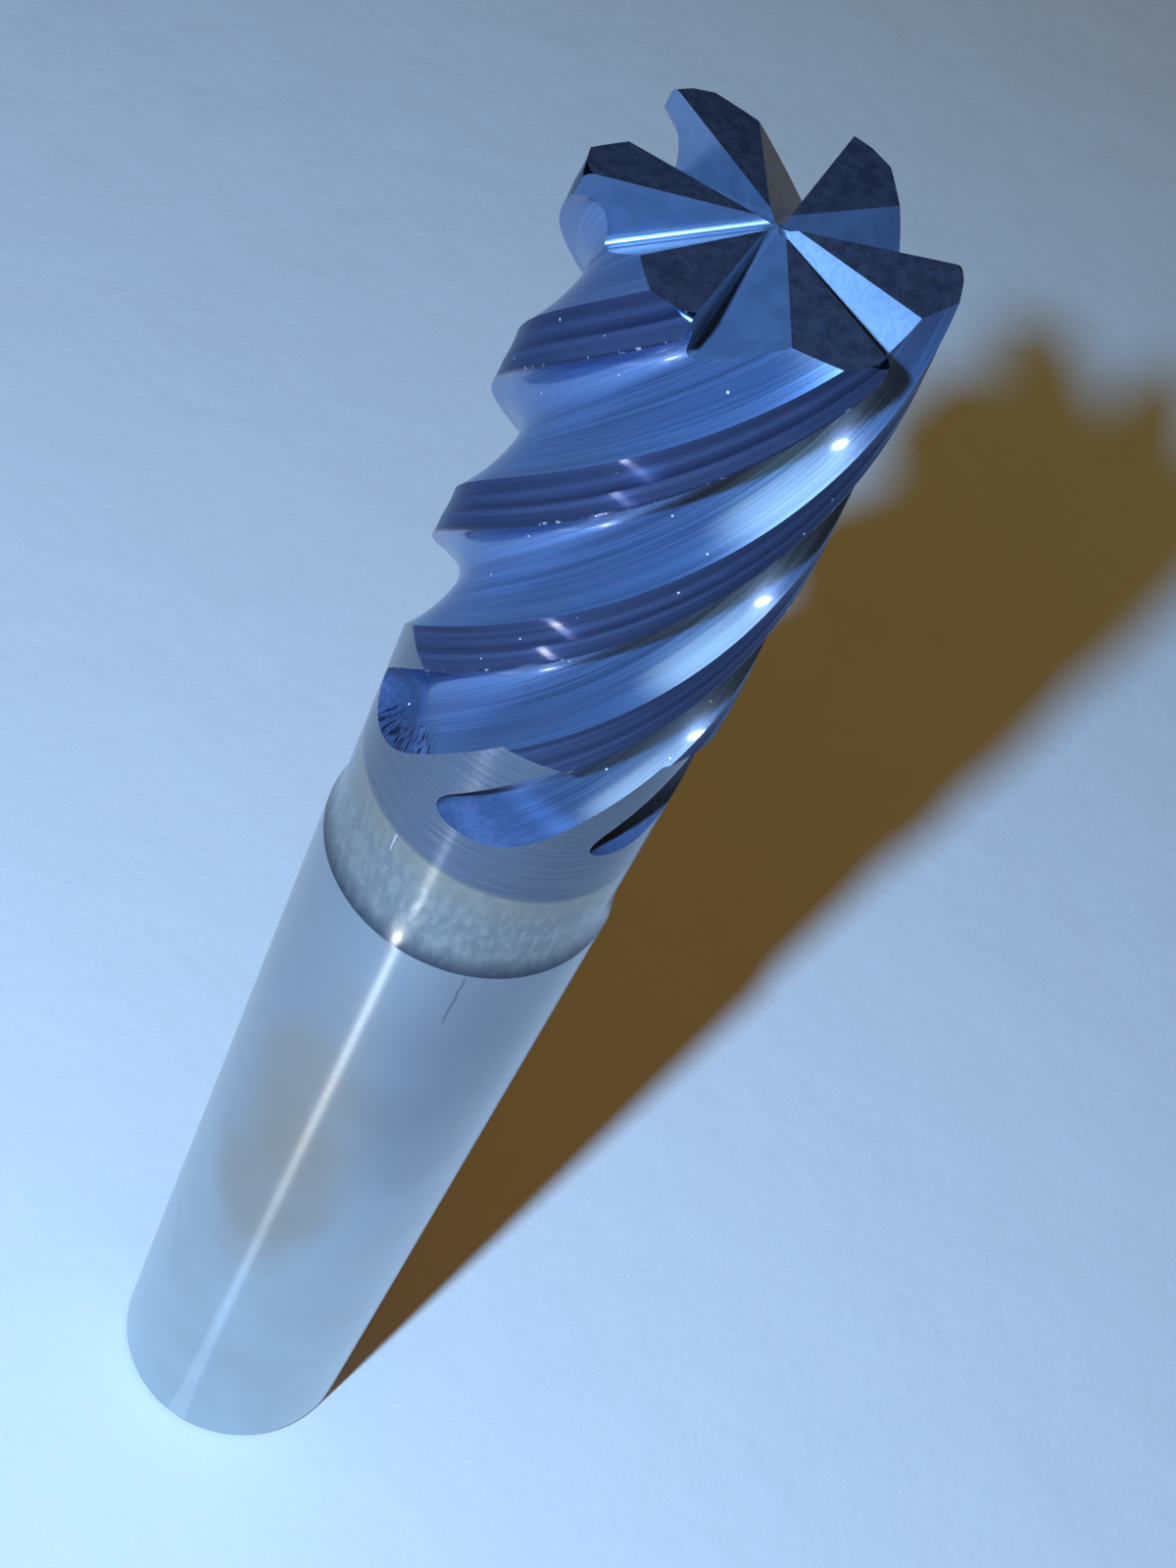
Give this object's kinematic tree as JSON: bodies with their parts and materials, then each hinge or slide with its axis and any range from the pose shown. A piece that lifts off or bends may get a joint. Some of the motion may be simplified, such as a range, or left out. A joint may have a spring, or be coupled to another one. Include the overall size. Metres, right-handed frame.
{
  "type": "corner radius end mill",
  "caption": "Solid carbide milling cutter with a plain round shank, a slimmer neck, helical flutes with run-outs, and a gashed end whose teeth have small rounded corners.",
  "frame": {"origin": "centre of the shank's end face, which it stands on", "axes": "+Z along the tool's axis, towards the cutting end; +X through the outer corner of one tooth's end edge"},
  "size_m": [0.012, 0.012, 0.0796],
  "materials": {
    "coated_carbide": "ground cemented carbide: blue-violet hard coating on the cutting head and neck, bare polished grey shank"
  },
  "bodies": {
    "root": {"end_mill": "coated_carbide"}
  },
  "joints": []
}
